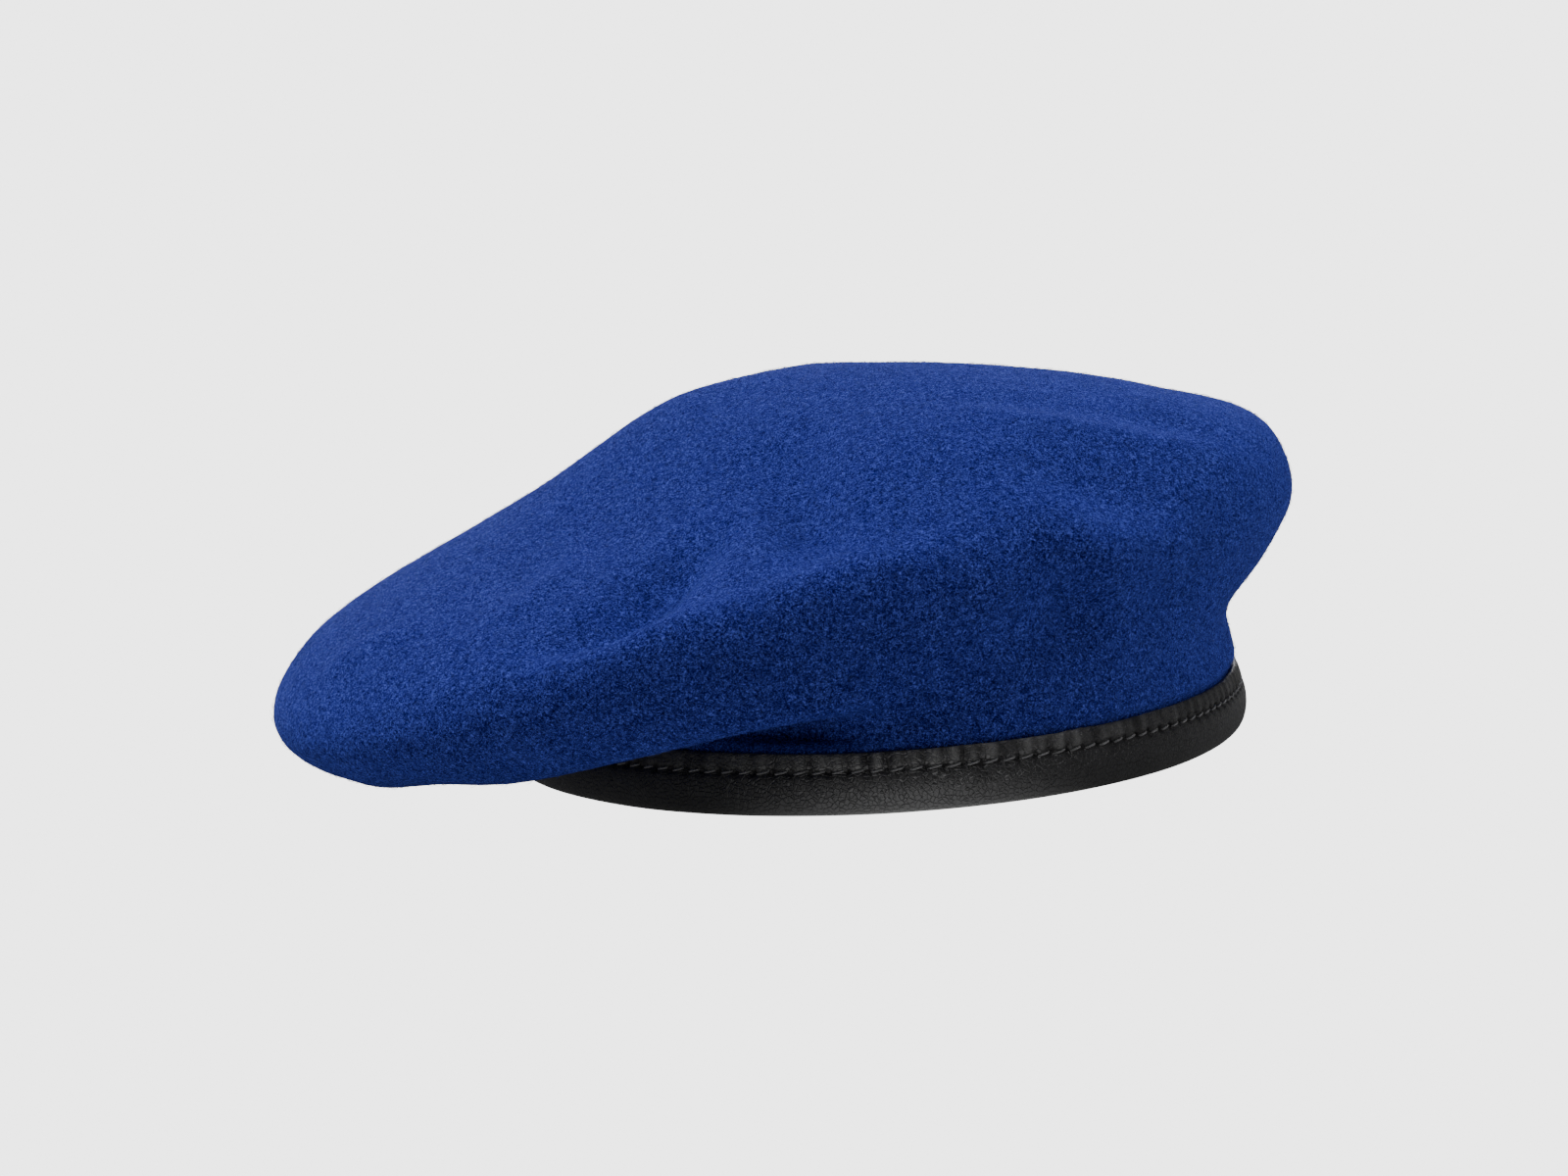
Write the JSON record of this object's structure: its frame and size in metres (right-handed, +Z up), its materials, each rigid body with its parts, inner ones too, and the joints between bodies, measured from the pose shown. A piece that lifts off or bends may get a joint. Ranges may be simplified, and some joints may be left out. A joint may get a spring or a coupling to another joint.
{
  "type": "military beret",
  "caption": "Soft felt military beret, its crown hanging over to one side, bound at the edge by a stitched black leather band.",
  "frame": {"origin": "middle of the head opening, level with the flat foot of the leather band", "axes": "+Z up out of the top of the head, -Y the way the wearer faces, +X the wearer's left; the crown hangs over to -X"},
  "size_m": [0.2406, 0.2376, 0.0883],
  "materials": {
    "blue_felt": "milled wool felt with a short curly nap",
    "black_leather": "smooth, fine grain, low satin sheen"
  },
  "bodies": {
    "root": {"crown": "blue_felt", "band": "black_leather"}
  },
  "joints": []
}
